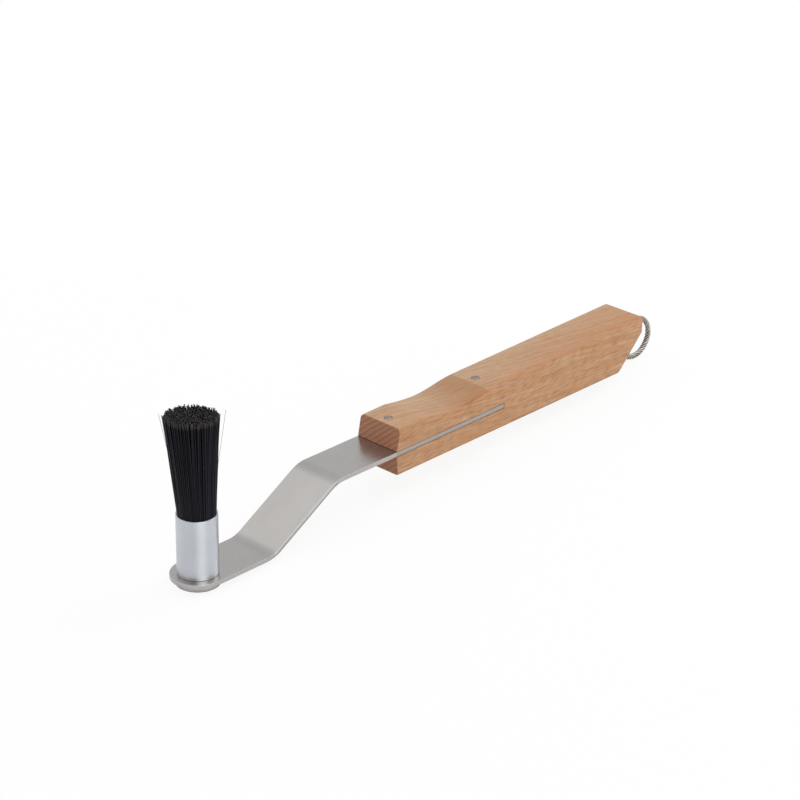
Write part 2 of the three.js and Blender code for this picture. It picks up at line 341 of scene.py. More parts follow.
def finish_piece(piece, node, material):
    piece.data.materials.clear()
    piece.data.materials.append(material)
    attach(piece, "root")
    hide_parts(node)


# Material helpers

def new_material(name):
    """New material, its node tree and its shader."""
    material = bpy.data.materials.new(name)
    material.use_nodes = True
    tree = material.node_tree
    return material, tree, tree.nodes["Principled BSDF"]


def feed(tree, socket, value):
    if isinstance(value, bpy.types.NodeSocket):
        tree.links.new(value, socket)
    else:
        socket.default_value = value


def add(tree, kind, inputs, **settings):
    node = tree.nodes.new("ShaderNode" + kind)
    for name, value in settings.items():
        setattr(node, name, value)
    for key, value in inputs.items():
        feed(tree, node.inputs[key], value)
    return node


def math_node(tree, operation, *values):
    return add(tree, "Math", dict(enumerate(values)), operation=operation).outputs[0]


def place_of_point(tree):
    """X, Y and Z of the shaded point, in the part's frame."""
    return add(tree, "SeparateXYZ", {0: add(tree, "TexCoord", {}).outputs["Object"]}).outputs


def facing_of_point(tree):
    """X, Y and Z of the direction that the surface faces."""
    return add(tree, "SeparateXYZ", {0: add(tree, "TexCoord", {}).outputs["Normal"]}).outputs


def stretched(tree, sizes, vector=None):
    """Object coordinates, or the given vector, counted in steps of these sizes."""
    if vector is None:
        vector = add(tree, "TexCoord", {}).outputs["Object"]
    counts = [1 / size for size in sizes]
    return add(tree, "VectorMath", {0: vector, 1: counts}, operation="MULTIPLY").outputs[0]


def noise(tree, sizes, detail=2.0, vector=None):
    """Noise from 0 to 1 with spots of about these sizes."""
    inputs = {"Vector": stretched(tree, sizes, vector), "Scale": 1.0, "Detail": detail}
    return add(tree, "TexNoise", inputs).outputs["Fac"]


def remap(tree, value, low, high, new_low=0.0, new_high=1.0):
    inputs = {"Value": value, "From Min": low, "From Max": high, "To Min": new_low, "To Max": new_high}
    return add(tree, "MapRange", inputs).outputs[0]


def blend(tree, share, first, second):
    """Number between two numbers."""
    return remap(tree, share, 0.0, 1.0, first, second)


def mix_colour(tree, share, first, second):
    """Colour between two colours, which are the node's sockets 6 and 7, and its output 2."""
    return add(tree, "Mix", {"Factor": share, 6: first, 7: second}, data_type="RGBA").outputs[2]


def bump(tree, height, distance, strength=1.0):
    inputs = {"Height": height, "Distance": distance, "Strength": strength}
    return add(tree, "Bump", inputs).outputs["Normal"]


# Wood: colours, directions and sizes of the grain, and how strongly each thing tints it
BEECH_PALE = srgb(205, 163, 125)
BEECH_WARM = srgb(199, 149, 102)
# Painted sheen: the paler grey that the top is tinted toward
BEECH_TOP_SHEEN = srgb(197, 176, 149)
BEECH_ORANGE = srgb(190, 128, 78)
BEECH_DARK = srgb(148, 93, 52)
BEECH_FLECK = srgb(138, 72, 30)
BEECH_SCOOP = srgb(156, 92, 26)
END_GRAIN = srgb(177, 121, 87)
END_GRAIN_LINE = srgb(112, 68, 46)
RING_TILT = math.radians(38)
RING_SPACING = 1.78 * MM
RING_WANDER = 1.5
RING_WANDER_SIZES = (90 * MM, 20 * MM, 20 * MM)
RING_CONTRAST = 2.5
GRAIN_RISE = math.radians(-4)
DASH_RISE = math.radians(11)
GRAIN_SWING = math.radians(8)
GRAIN_WAVE = 1.5 * MM
GRAIN_WAVE_SIZES = (26 * MM, 120 * MM, 120 * MM)
GRAIN_RELIEF = 0.03 * MM
WOOD_ROUGHNESS = (0.46, 0.6)
TONE_SIZES = (80 * MM, 5 * MM, 2.4 * MM)
PATCH_SIZES = (22 * MM, 2.4 * MM, 2 * MM)
FIBRE_LENGTH = 40 * MM
FIBRE_WIDTH = 0.32 * MM
DASH_LENGTH = 5.8 * MM
DASH_WIDTH = 0.5 * MM
DASH_FADES_FROM = 0.1
DASH_FADES_TO = 0.4
DASH_WEAKEST = 0.3
PORE_SIZE = 0.4 * MM
PATCH_STRENGTH = 0.35
RING_STRENGTH = 0.12
FIBRE_STRENGTH = 0.5
DASH_STRENGTH = 0.7
DASH_SHARE_ON_TOP = 0.45
# Share of the painted sheen on the top at the nose, the scoop and the tail, and on the near and far side
SHEEN_AT_NOSE = 0.25
SHEEN_AT_SCOOP = 0.5
SHEEN_AT_TAIL = 0.22
SHEEN_SHARE_NEAR = 0.5
SHEEN_SHARE_FAR = 1.3
WARMTH_AT_TAIL = 0.6
ORANGE_EDGE_STRENGTH = 0.45
# Painted shade on the near side's lower edge and the far side's upper edge
EDGE_SHADE_STRENGTH = 0.7
SCOOP_TONE_LENGTH = 13 * MM
SCOOP_TONE_STRENGTH = 0.42
DARK_NOSE_LENGTH = 35 * MM
DARK_NOSE_STRENGTH = 0.07
END_GRAIN_PORE_STRENGTH = 0.7
END_GRAIN_RING_STRENGTH = 0.72

# Metals: bright and dull colour, roughness, and the size of the fine lines
SATIN_ALUMINIUM = (srgb(205, 209, 215), srgb(195, 199, 205), 0.36, (4 * MM, 4 * MM, 0.07 * MM))
PLATED_STEEL = (srgb(196, 195, 194), srgb(180, 179, 179), 0.34, (0.2 * MM, 0.2 * MM, 0.2 * MM))
PIN_METAL = (srgb(182, 172, 167), srgb(126, 116, 112), 0.4, (1.4 * MM, 0.7 * MM, 0.7 * MM))
STAINLESS_STRIP = (srgb(192, 189, 187), srgb(183, 180, 178), 0.25, (6 * MM, 0.06 * MM, 0.06 * MM))
LINE_RELIEF = 0.004 * MM
ROUGHNESS_SPREAD = 0.06
CLOUD_SIZES = (9 * MM, 9 * MM, 9 * MM)
SATIN_SPREAD = 0.8
QUARTER_TURN = 0.25
# Painted reflection of the steel strip on the ferrule's lowest wall, and how softly it ends
FOOT_REFLECTION_COLOUR = srgb(194, 194, 195)
FOOT_BLUR = 0.3 * MM
# Painted light on the strip's upright edges: shade and highlight between the bends, shade in the slot
SLOPE_EDGE_SHADE = srgb(164, 163, 162)
SLOPE_EDGE_HIGHLIGHT = srgb(217, 215, 213)
SLOT_EDGE_SHADE = srgb(174, 167, 162)

# Bristles, resin and rope
NYLON_DARK = srgb(2, 2, 4)
NYLON_PALE = srgb(37, 35, 46)
NYLON_SCUFFED = srgb(82, 78, 78)
NYLON_CONTRAST = 1.6
NYLON_ROUGHNESS = (0.34, 0.5)
NYLON_SPECULAR = 0.15
SCUFFED_LENGTH = 1.5 * MM
SCUFFED_STRENGTH = 0.6
RESIN_PALE = srgb(52, 44, 36)
RESIN_DARK = srgb(30, 26, 24)
RESIN_ROUGHNESS = (0.25, 0.45)
ROPE_BRIGHT = srgb(206, 201, 195)
ROPE_DULL = srgb(160, 151, 144)
# Painted shade in the valleys between the rope's strands
ROPE_VALLEY_SHADE = srgb(52, 46, 42)
ROPE_ROUGHNESS = (0.24, 0.38)


# Materials


def wood_place(tree, rise):
    """Object coordinates turned so that X follows the fibres, which rise or fall, swing and wave."""
    coords = add(tree, "TexCoord", {}).outputs["Object"]
    turn = (0, rise, GRAIN_SWING)
    level = add(tree, "Mapping", {"Vector": coords, "Rotation": turn}).outputs[0]
    wave = noise(tree, GRAIN_WAVE_SIZES, 1.0, level)
    lift = add(tree, "CombineXYZ", {"Z": math_node(tree, "MULTIPLY", wave, GRAIN_WAVE)}).outputs[0]
    return add(tree, "VectorMath", {0: level, 1: lift}, operation="ADD").outputs[0]


def growth_rings(tree, place):
    """Place across the growth rings, counted in rings, with a slow wander."""
    across = (0, math.sin(RING_TILT) / RING_SPACING, math.cos(RING_TILT) / RING_SPACING)
    rings = add(tree, "VectorMath", {0: place, 1: across}, operation="DOT_PRODUCT").outputs["Value"]
    wander = noise(tree, RING_WANDER_SIZES, 1.0, place)
    return math_node(tree, "ADD", rings, math_node(tree, "MULTIPLY", wander, RING_WANDER))


def late_wood(tree, place):
    """Dark side of each growth ring, from 0 to 1."""
    share = math_node(tree, "FRACT", growth_rings(tree, place))
    return math_node(tree, "POWER", share, RING_CONTRAST)


def streaks(tree, place, upward, length, width, detail):
    """Noise in streaks along the fibres, narrow across the face that shows them: the side or the top."""
    depth = 8 * width
    on_side = noise(tree, (length, depth, width), detail, place)
    on_top = noise(tree, (length, width, depth), detail, place)
    return blend(tree, upward, on_side, on_top)


def dashes_on_face(tree, along, across, length, width):
    """Short dark dashes, evenly spread over a face, each with its own strength from 0 to 1."""
    x = math_node(tree, "DIVIDE", along, length)
    y = math_node(tree, "DIVIDE", across, width)
    spot = add(tree, "CombineXYZ", {"X": x, "Y": y}).outputs[0]
    cells = add(tree, "TexVoronoi", {"Vector": spot, "Scale": 1.0}, voronoi_dimensions="2D").outputs
    chance = add(tree, "SeparateColor", {0: cells["Color"]}).outputs["Red"]
    dash = remap(tree, cells["Distance"], DASH_FADES_TO, DASH_FADES_FROM)
    return math_node(tree, "MULTIPLY", dash, blend(tree, chance, DASH_WEAKEST, 1.0))


def flecks(tree, place, upward, length, width):
    """Dashes along the fibres on the sides and on the top."""
    along, across, height = add(tree, "SeparateXYZ", {0: place}).outputs
    on_side = dashes_on_face(tree, along, height, length, width)
    on_top = dashes_on_face(tree, along, across, length, width)
    return blend(tree, upward, on_side, on_top)


def wood_tones(tree, place):
    """Slow changes along the fibres from pale to warm, with orange patches."""
    tone = noise(tree, TONE_SIZES, 3.0, place)
    colour = mix_colour(tree, remap(tree, tone, 0.33, 0.67), BEECH_PALE, BEECH_WARM)
    patches = noise(tree, PATCH_SIZES, 2.0, place)
    return mix_colour(tree, remap(tree, patches, 0.52, 0.7, 0.0, PATCH_STRENGTH), colour, BEECH_ORANGE)


def tint_top_and_paint_sheen(tree, colour, upward):
    """Paints a sheen on the top as a paler grey tone (painted highlight), most behind the scoop and on the
    far side, and makes the near side's tail warmer.
    """
    along, across, _ = place_of_point(tree)
    far_side = remap(tree, across, STRIP_LOW.y, STRIP_HIGH.y)
    toward_scoop = remap(tree, along, NOSE_X, SCOOP_END_X, SHEEN_AT_NOSE, SHEEN_AT_SCOOP)
    toward_tail = remap(tree, along, SCOOP_END_X, TAIL_X, SHEEN_AT_SCOOP, SHEEN_AT_TAIL)
    painted_sheen = math_node(tree, "MULTIPLY", upward, math_node(tree, "MINIMUM", toward_scoop, toward_tail))
    painted_sheen = math_node(tree, "MULTIPLY", painted_sheen, blend(tree, far_side, SHEEN_SHARE_NEAR, SHEEN_SHARE_FAR))
    # Painted highlight: the sheen on the top as a paler grey
    colour = mix_colour(tree, painted_sheen, colour, BEECH_TOP_SHEEN)
    warmed = math_node(tree, "MULTIPLY", upward, remap(tree, along, NOSE_X, TAIL_X, 0.0, WARMTH_AT_TAIL))
    warmed = math_node(tree, "MULTIPLY", warmed, blend(tree, far_side, 1.0, 0.0))
    return mix_colour(tree, warmed, colour, BEECH_ORANGE)


def tint_long_edges(tree, colour, facing):
    """Makes the near side's rounded upper edge and the far side's lower edge orange, and paints shade as a
    dark tone on the near side's lower edge and the far side's upper edge.
    """
    edge = math_node(tree, "MULTIPLY", facing["Y"], facing["Z"])
    orange = remap(tree, edge, -0.1, -0.5, 0.0, ORANGE_EDGE_STRENGTH)
    colour = mix_colour(tree, orange, colour, BEECH_ORANGE)
    # Painted shade: a dark tone on the near lower and far upper edges
    return mix_colour(tree, remap(tree, edge, 0.15, 0.5, 0.0, EDGE_SHADE_STRENGTH), colour, BEECH_DARK)


def tint_scoop(tree, colour, facing):
    """Makes the scoop's rear slope darker, where the fibres come out of it."""
    along = place_of_point(tree)["X"]
    tone_end = SCOOP_LOWEST_X + SCOOP_TONE_LENGTH
    rear_of_scoop = remap(tree, along, SCOOP_LOWEST_X, tone_end, 0.0, SCOOP_TONE_STRENGTH)
    fibre_ends = remap(tree, facing["X"], -0.018, -0.03)
    return mix_colour(tree, math_node(tree, "MULTIPLY", fibre_ends, rear_of_scoop), colour, BEECH_SCOOP)


def tint_nose(tree, colour, upward):
    """Makes the sides a little darker toward the nose."""
    along = place_of_point(tree)["X"]
    near_nose = remap(tree, along, NOSE_X, NOSE_X + DARK_NOSE_LENGTH, DARK_NOSE_STRENGTH, 0.0)
    near_nose = math_node(tree, "MULTIPLY", near_nose, math_node(tree, "SUBTRACT", 1.0, upward))
    return mix_colour(tree, near_nose, colour, BEECH_DARK)


def long_grain(tree, place, facing, upward, fibres, dashes):
    """Colour along the fibres, from the slow tones to the finest marks, with the tints of each region, among
    them a painted sheen on the top and painted shade on two rounded edges.
    """
    colour = tint_top_and_paint_sheen(tree, wood_tones(tree, place), upward)
    colour = tint_long_edges(tree, colour, facing)
    rings = math_node(tree, "MULTIPLY", late_wood(tree, place), RING_STRENGTH)
    colour = mix_colour(tree, rings, colour, BEECH_DARK)
    colour = mix_colour(tree, remap(tree, fibres, 0.45, 0.7, 0.0, FIBRE_STRENGTH), colour, BEECH_DARK)
    colour = mix_colour(tree, math_node(tree, "MULTIPLY", dashes, DASH_STRENGTH), colour, BEECH_FLECK)
    return tint_nose(tree, tint_scoop(tree, colour, facing), upward)


def end_grain(tree, place):
    """Colour of the sawn ends: pores and growth rings."""
    pores = noise(tree, (PORE_SIZE, PORE_SIZE, PORE_SIZE), 2.0, place)
    pores = remap(tree, pores, 0.45, 0.75, 0.0, END_GRAIN_PORE_STRENGTH)
    rings = math_node(tree, "MULTIPLY", late_wood(tree, place), END_GRAIN_RING_STRENGTH)
    return mix_colour(tree, rings, mix_colour(tree, pores, END_GRAIN, END_GRAIN_LINE), END_GRAIN_LINE)


def beech():
    material, tree, shader = new_material("beech")
    place = wood_place(tree, GRAIN_RISE)
    dash_place = wood_place(tree, DASH_RISE)
    facing = facing_of_point(tree)
    upward = remap(tree, math_node(tree, "ABSOLUTE", facing["Z"]), 0.5, 0.85)
    fibres = streaks(tree, place, upward, FIBRE_LENGTH, FIBRE_WIDTH, 3.0)
    dashes = flecks(tree, dash_place, upward, DASH_LENGTH, DASH_WIDTH)
    dashes = math_node(tree, "MULTIPLY", dashes, blend(tree, upward, 1.0, DASH_SHARE_ON_TOP))
    endways = remap(tree, math_node(tree, "ABSOLUTE", facing["X"]), 0.45, 0.8)
    lengthwise = long_grain(tree, place, facing, upward, fibres, dashes)
    colour = mix_colour(tree, endways, lengthwise, end_grain(tree, place))
    feed(tree, shader.inputs["Base Color"], colour)
    feed(tree, shader.inputs["Roughness"], remap(tree, fibres, 0.2, 0.8, *WOOD_ROUGHNESS))
    relief = math_node(tree, "SUBTRACT", fibres, dashes)
    feed(tree, shader.inputs["Normal"], bump(tree, relief, GRAIN_RELIEF))
    shader.inputs["Specular IOR Level"].default_value = 0.5
    return material


def brushed_metal(name, colour, dull, roughness, line):
    """Metal with fine lines of the given size, and slow changes of tone."""
    material, tree, shader = new_material(name)
    lines = noise(tree, line, 3.0)
    clouds = noise(tree, CLOUD_SIZES, 2.0)
    share = math_node(tree, "MULTIPLY_ADD", lines, 0.5, math_node(tree, "MULTIPLY", clouds, 0.5))
    feed(tree, shader.inputs["Base Color"], mix_colour(tree, remap(tree, share, 0.3, 0.7), colour, dull))
    smoothest, roughest = roughness - ROUGHNESS_SPREAD, roughness + ROUGHNESS_SPREAD
    feed(tree, shader.inputs["Roughness"], remap(tree, lines, 0.25, 0.75, smoothest, roughest))
    feed(tree, shader.inputs["Normal"], bump(tree, lines, LINE_RELIEF))
    shader.inputs["Metallic"].default_value = 1.0
    return material


def spread_upright(material):
    """Makes a metal's reflections spread up and down, as on a cup turned and satin finished."""
    tree = material.node_tree
    shader = tree.nodes["Principled BSDF"]
    around = add(tree, "Tangent", {}, direction_type="RADIAL", axis="Z").outputs[0]
    feed(tree, shader.inputs["Tangent"], around)
    shader.inputs["Anisotropic"].default_value = SATIN_SPREAD
    shader.inputs["Anisotropic Rotation"].default_value = QUARTER_TURN


def paint_foot_reflection(material):
    """Paints a reflection of the steel strip on the ferrule's lowest wall, as the strip's grey tone."""
    tree = material.node_tree
    shader = tree.nodes["Principled BSDF"]
    colour = shader.inputs["Base Color"].links[0].from_socket
    foot_top = FERRULE_LOW.z + FERRULE_FOOT
    foot = remap(tree, place_of_point(tree)["Z"], foot_top, foot_top - FOOT_BLUR)
    feed(tree, shader.inputs["Base Color"], mix_colour(tree, foot, colour, FOOT_REFLECTION_COLOUR))


def paint_edge_light(material):
    """Paints light on the strip's upright edges: between the bends painted shade low and a painted highlight
    on the upper rim, and painted shade in the slot.
    """
    tree = material.node_tree
    shader = tree.nodes["Principled BSDF"]
    colour = shader.inputs["Base Color"].links[0].from_socket
    upright = remap(tree, math_node(tree, "ABSOLUTE", facing_of_point(tree)["Y"]), 0.5, 0.9)
    along, _, height = place_of_point(tree)
    underside = remap(tree, along, LOWER_BEND_X, UPPER_BEND_X, STRIP_UNDER, STRIP_UNDER + STRIP_RISE)
    above_underside = math_node(tree, "SUBTRACT", height, underside)
    rim = remap(tree, above_underside, 0.3 * STRIP_THICKNESS, STRIP_THICKNESS)
    slope_edge_light = mix_colour(tree, rim, SLOPE_EDGE_SHADE, SLOPE_EDGE_HIGHLIGHT)
    past_lower_bend = math_node(tree, "GREATER_THAN", along, LOWER_BEND_X)
    on_slope = math_node(tree, "MULTIPLY", past_lower_bend, math_node(tree, "LESS_THAN", along, UPPER_BEND_X))
    in_slot = math_node(tree, "GREATER_THAN", along, NOSE_X)
    # Painted highlight and shade on the slope's edges, painted shade on the edges in the slot
    for region, edge_colour in ((on_slope, slope_edge_light), (in_slot, SLOT_EDGE_SHADE)):
        colour = mix_colour(tree, math_node(tree, "MULTIPLY", upright, region), colour, edge_colour)
    feed(tree, shader.inputs["Base Color"], colour)


def cast_resin():
    material, tree, shader = new_material("resin")
    clouds = noise(tree, (3 * MM, 3 * MM, 3 * MM), 3.0)
    feed(tree, shader.inputs["Base Color"], mix_colour(tree, clouds, RESIN_PALE, RESIN_DARK))
    feed(tree, shader.inputs["Roughness"], remap(tree, clouds, 0.3, 0.7, *RESIN_ROUGHNESS))
    return material


def black_nylon():
    material, tree, shader = new_material("black_nylon")
    strand = add(tree, "Attribute", {}, attribute_name="tone").outputs["Fac"]
    body = mix_colour(tree, math_node(tree, "POWER", strand, NYLON_CONTRAST), NYLON_DARK, NYLON_PALE)
    tips = remap(tree, place_of_point(tree)["Z"], TUFT_TOP - SCUFFED_LENGTH, TUFT_TOP)
    scuffed = math_node(tree, "MULTIPLY", tips, SCUFFED_STRENGTH)
    feed(tree, shader.inputs["Base Color"], mix_colour(tree, scuffed, body, NYLON_SCUFFED))
    along = noise(tree, (0.3 * MM, 0.3 * MM, 3 * MM), 2.0)
    feed(tree, shader.inputs["Roughness"], remap(tree, along, 0.3, 0.7, *NYLON_ROUGHNESS))
    shader.inputs["Specular IOR Level"].default_value = NYLON_SPECULAR
    return material


def wire_rope():
    material, tree, shader = new_material("wire_rope")
    strand = add(tree, "NewGeometry", {}).outputs["Random Per Island"]
    grime = noise(tree, (2.5 * MM, 2.5 * MM, 2.5 * MM), 3.0)
    share = math_node(tree, "MULTIPLY_ADD", strand, 0.4, math_node(tree, "MULTIPLY", grime, 0.6))
    metal = mix_colour(tree, remap(tree, share, 0.25, 0.75), ROPE_BRIGHT, ROPE_DULL)
    # Painted shade: the valleys between the strands are darker than their crowns
    crown = remap(tree, add(tree, "Attribute", {}, attribute_name="crown").outputs["Fac"], 0.72, 0.95)
    feed(tree, shader.inputs["Base Color"], mix_colour(tree, crown, ROPE_VALLEY_SHADE, metal))
    feed(tree, shader.inputs["Roughness"], remap(tree, grime, 0.3, 0.7, *ROPE_ROUGHNESS))
    shader.inputs["Metallic"].default_value = 1.0
    return material


# Pieces

def top_line(x):
    """Height of the straight top line of the handle."""
    start = NOSE_X + NOSE_TOP_SETBACK
    return NOSE_TOP + (TAIL_TOP - NOSE_TOP) * (x - start) / (TAIL_X - start)


def third_of_way(start, end):
    return start + (end - start) / 3


def scoop_points():
    """Thumb scoop from its rear end to its front end, as two curves that meet level at the lowest point."""
    lowest_z = top_line(SCOOP_LOWEST_X) - SCOOP_DEPTH
    rear_x = third_of_way(SCOOP_END_X, SCOOP_LOWEST_X)
    front_x = third_of_way(SCOOP_START_X, SCOOP_LOWEST_X)
    rear = [
        (SCOOP_END_X, top_line(SCOOP_END_X)),
        (rear_x, top_line(rear_x) - SCOOP_REAR_SLOPE * (SCOOP_END_X - rear_x)),
        (third_of_way(SCOOP_LOWEST_X, SCOOP_END_X), lowest_z),
        (SCOOP_LOWEST_X, lowest_z),
    ]
    front = [
        (SCOOP_LOWEST_X, lowest_z),
        (third_of_way(SCOOP_LOWEST_X, SCOOP_START_X), lowest_z),
        (front_x, (top_line(SCOOP_START_X) + lowest_z) / 2),
        (SCOOP_START_X, top_line(SCOOP_START_X)),
    ]
    curves = [interpolate_bezier(*[Vector(p) for p in curve], SCOOP_STEPS) for curve in (rear, front)]
    just_inside = curves[0][0].lerp(curves[0][1], SCOOP_CREASE / (curves[0][0] - curves[0][1]).length)
    return curves[0][:1] + [just_inside] + curves[0][1:] + curves[1][1:]


def nose_x(z):
    """X of the V-shaped nose at a height."""
    if z > NOSE_TIP_Z:
        return NOSE_X + NOSE_TOP_SETBACK * (z - NOSE_TIP_Z) / (NOSE_TOP - NOSE_TIP_Z)
    return NOSE_X + NOSE_BOTTOM_SETBACK * (NOSE_TIP_Z - z) / (NOSE_TIP_Z - HANDLE_BOTTOM)


def tail_x(z):
    """X of the upright tail end, and of the slanted cut below it, at a height."""
    below = max(0, TAIL_CREASE_Z - z)
    return TAIL_X - TAIL_CUT_RUN * below / (TAIL_CREASE_Z - HANDLE_BOTTOM)


def rounded_corner(quarter, side, height, radius, upward):
    """Points (y, z) round one long edge of the handle, through one quarter turn."""
    points = []
    for step in range(EASE_SEGMENTS + 1):
        turn = math.pi / 2 * (quarter + step / EASE_SEGMENTS)
        y = side * (STRIP_WIDTH / 2 - radius) + radius * math.cos(turn)
        z = height - upward * radius + radius * math.sin(turn)
        points.append((y, z))
    return points


def handle_section(top):
    """Points (y, z) round the handle for a height of its top, from the nose's tip on the far side."""
    half = STRIP_WIDTH / 2
    points = [(half, NOSE_TIP_Z), (half, TAIL_CREASE_Z)]
    points += rounded_corner(0, 1, top, TOP_EDGE_EASE, 1)
    points += rounded_corner(1, -1, top, TOP_EDGE_EASE, 1)
    points += [(-half, TAIL_CREASE_Z), (-half, NOSE_TIP_Z)]
    points += rounded_corner(2, -1, HANDLE_BOTTOM, BOTTOM_EDGE_EASE, -1)
    points += rounded_corner(3, 1, HANDLE_BOTTOM, BOTTOM_EDGE_EASE, -1)
    return points


def handle_block():
    """Handle before the cuts: rings along it, the V-shaped nose and the slanted tail."""
    rings = [[(nose_x(z), y, z) for y, z in handle_section(NOSE_TOP)]]
    for x, top in reversed(scoop_points()):
        rings.append([(x, y, z) for y, z in handle_section(top)])
    rings.append([(tail_x(z), y, z) for y, z in handle_section(TAIL_TOP)])
    bm = bmesh.new()
    made = add_rings(bm, rings)
    nose, tail = made[0], made[-1]
    near_crease = 2 * EASE_SEGMENTS + 4
    near_tip = near_crease + 1
    bm.faces.new(nose[: near_tip + 1])
    bm.faces.new(nose[near_tip:] + nose[:1])
    bm.faces.new(tail[1 : near_crease + 1])
    bm.faces.new(tail[near_crease:] + tail[:2])
    bmesh.ops.recalc_face_normals(bm, faces=bm.faces)
    edges = [e for e in bm.edges if e.calc_face_angle() > CORNER_ANGLE]
    ease_edges(bm, edges, END_EDGE_EASE)
    return mesh_object("beech_handle", bm)


def pin_box(node):
    """Middle of a pin in X, its radius and the heights of its ends."""
    low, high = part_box(node)
    return (low.x + high.x) / 2, (high.x - low.x) / 2, low.z, high.z


def pin_hole(node):
    x, radius, bottom, top = pin_box(node)
    start = Vector((x, 0, bottom - CUT_MARGIN))
    end = Vector((x, 0, top + CUT_MARGIN))
    return rod(start, end, radius + PIN_CLEARANCE)


def make_handle(material):
    piece = handle_block()
    slot = block(
        Vector((NOSE_X - CUT_MARGIN, -STRIP_WIDTH, STRIP_OVER - STRIP_THICKNESS - SLOT_CLEARANCE)),
        Vector((STRIP_HIGH.x + SLOT_CLEARANCE, STRIP_WIDTH, STRIP_OVER + SLOT_CLEARANCE)),
    )
    bore_start = Vector((SLEEVE_LOW.x - BORE_BEYOND_SLEEVE, 0, BORE_MOUTH.z))
    bore_end = Vector((TAIL_X + CUT_MARGIN, 0, BORE_MOUTH.z))
    bore = rod(bore_start, bore_end, (SLEEVE_HIGH.y - SLEEVE_LOW.y) / 2 + SLEEVE_CLEARANCE)
    cut(piece, [slot, bore, pin_hole("front_handle_pin"), pin_hole("rear_handle_pin")])
    shade_smooth(piece)
    finish_piece(piece, "handle", material)


def strip_stations():
    """Along the strip: underside point, tilt and half width, from the round end to the end in the handle."""
    half = STRIP_WIDTH / 2
    outer = BEND_INNER_RADIUS + STRIP_THICKNESS
    ease = math.tan(BEND_ANGLE / 2)
    lower = Vector((LOWER_BEND_X - outer * ease, STRIP_UNDER + outer))
    upper_z = STRIP_UNDER + STRIP_RISE - BEND_INNER_RADIUS
    upper = Vector((UPPER_BEND_X + BEND_INNER_RADIUS * ease, upper_z))
    tilts = [BEND_ANGLE * step / ARC_STEPS for step in range(ARC_STEPS + 1)]
    stations = []
    for step in range(ROUND_END_STEPS + 1):
        turn = math.pi / 2 * step / ROUND_END_STEPS
        place = Vector((HEAD_X - half * math.cos(turn), STRIP_UNDER))
        stations.append((place, 0, half * math.sin(turn)))
    for tilt in tilts:
        stations.append((lower + outer * Vector((math.sin(tilt), -math.cos(tilt))), tilt, half))
    for tilt in reversed(tilts):
        place = upper + BEND_INNER_RADIUS * Vector((-math.sin(tilt), math.cos(tilt)))
        stations.append((place, tilt, half))
    stations.append((Vector((STRIP_HIGH.x, STRIP_UNDER + STRIP_RISE)), 0, half))
    return stations


def strip_section(place, tilt, half):
    over = place + STRIP_THICKNESS * Vector((-math.sin(tilt), math.cos(tilt)))
    return [
        (place.x, -half, place.y), (place.x, half, place.y), (over.x, half, over.y), (over.x, -half, over.y),
    ]


def make_strip(material):
    bm = bmesh.new()
    rings = add_rings(bm, [strip_section(*station) for station in strip_stations()])
    bm.faces.new(rings[-1])
    bmesh.ops.remove_doubles(bm, verts=bm.verts, dist=MERGE_DISTANCE)
    bmesh.ops.recalc_face_normals(bm, faces=bm.faces)
    edges = [e for e in bm.edges if e.is_manifold and e.calc_face_angle() > STRIP_CORNER_ANGLE]
    ease_edges(bm, edges, STRIP_EDGE_EASE)
    piece = mesh_object("steel_strip", bm)
    screw_hole = rod(
        Vector((HEAD_X, 0, STRIP_UNDER - CUT_MARGIN)),
        Vector((HEAD_X, 0, STRIP_UNDER + STRIP_THICKNESS + CUT_MARGIN)),
        SCREW_RADIUS + SCREW_CLEARANCE,
    )
    cut(piece, [screw_hole, pin_hole("front_handle_pin"), pin_hole("rear_handle_pin")])
    shade_smooth(piece)
    finish_piece(piece, "blade_strip", material)


def make_pin(node, material):
    x, radius, bottom, top = pin_box(node)
    ends = [(bottom - PIN_STANDS_PROUD, 1), (top + PIN_STANDS_PROUD, -1)]
    lower, upper = [rounded_edge(radius, height, PIN_EDGE_EASE, way) for height, way in ends]
    profile = [(0, ends[0][0])] + lower + upper[::-1] + [(0, ends[1][0])]
    piece = turned(node.replace("_handle", "") + "_metal", profile, x)
    shade_smooth(piece)
    finish_piece(piece, node, material)


def make_ferrule(material):
    base, rim = FERRULE_LOW.z, FERRULE_HIGH.z
    hole = SCREW_RADIUS + SCREW_CLEARANCE
    inside = FERRULE_RADIUS - FERRULE_WALL
    lip = rounded_edge(FERRULE_RADIUS, rim, FERRULE_LIP_EASE, -1)
    profile = [(hole, base)]
    profile += rounded_edge(FERRULE_RADIUS, base, FERRULE_CORNER_RADIUS, 1)
    profile += lip[::-1]
    profile += [(inside, rim), (inside, base + FERRULE_FLOOR), (hole, base + FERRULE_FLOOR)]
    piece = turned("ferrule_cup", profile, HEAD_X, closed=True)
    shade_smooth(piece)
    finish_piece(piece, "ferrule", material)


def make_screw(material):
    profile = [(0, SCREW_LOW.z)]
    profile += rounded_edge(SCREW_HEAD_RADIUS, SCREW_LOW.z, SCREW_HEAD_EDGE_RADIUS, 1)
    profile += [
        (SCREW_HEAD_RADIUS, STRIP_UNDER),
        (SCREW_RADIUS, STRIP_UNDER),
        (SCREW_RADIUS, SCREW_HIGH.z),
        (0, SCREW_HIGH.z),
    ]
    piece = turned("socket_screw", profile, HEAD_X)
    socket_sides = 6
    corner_radius = SOCKET_ACROSS_FLATS / 2 / math.cos(math.pi / socket_sides)
    socket = rod(
        Vector((HEAD_X, 0, SCREW_LOW.z - CUT_MARGIN)),
        Vector((HEAD_X, 0, SCREW_LOW.z + SOCKET_DEPTH)),
        corner_radius,
        socket_sides,
    )
    cut(piece, [socket])
    shade_smooth(piece)
    finish_piece(piece, "head_screw", material)


def clump(place):
    """Noise that is alike for strands that stand close together, from about -1 to 1."""
    return noise_at(Vector((place.x, place.y, 0)) / CLUMP_SIZE)


